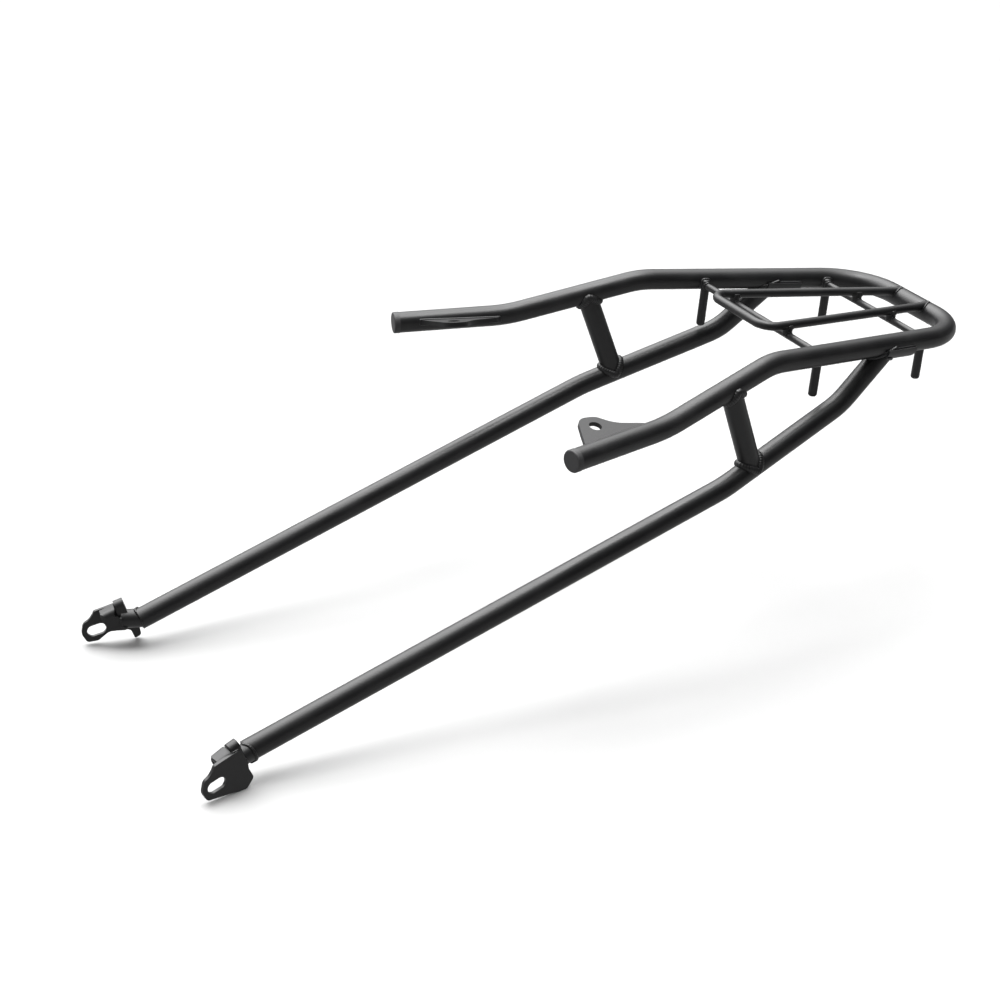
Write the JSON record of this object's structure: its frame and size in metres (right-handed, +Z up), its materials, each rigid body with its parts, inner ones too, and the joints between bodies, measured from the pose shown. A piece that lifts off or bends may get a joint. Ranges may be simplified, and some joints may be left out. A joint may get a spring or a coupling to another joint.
{
  "type": "motorcycle luggage rack",
  "caption": "Welded tubular steel rear luggage rack: tapered tube platform with an inner rod hoop, splayed arms with bolt tabs, and long stays ending in slotted brackets.",
  "frame": {"origin": "middle of the platform's rear bar, on the bar's centre line", "axes": "+X rearwards along the vehicle, from the brackets to the rear bar; +Y to the vehicle's right; +Z up, square to the platform"},
  "size_m": [0.7536, 0.3556, 0.3306],
  "materials": {
    "black_coating": "satin",
    "cap_plastic": "matte"
  },
  "bodies": {
    "root": {"arm_tab_left": "black_coating", "arm_tab_right": "black_coating", "bracket_lug_left": "black_coating", "bracket_lug_right": "black_coating", "crossbar_front": "black_coating", "crossbar_rear": "black_coating", "end_cap_left": "cap_plastic", "end_cap_right": "cap_plastic", "main_tube": "black_coating", "peg_front_left": "black_coating", "peg_front_right": "black_coating", "peg_rear_left": "black_coating", "peg_rear_right": "black_coating", "post_front_left": "black_coating", "post_front_right": "black_coating", "post_rear_left": "black_coating", "post_rear_right": "black_coating", "rod_hoop": "black_coating", "spigot_left": "black_coating", "spigot_right": "black_coating", "stay_bracket_left": "black_coating", "stay_bracket_right": "black_coating", "stay_left": "black_coating", "stay_right": "black_coating", "stay_saddle_left": "black_coating", "stay_saddle_right": "black_coating", "strut_left": "black_coating", "strut_right": "black_coating"}
  },
  "joints": []
}
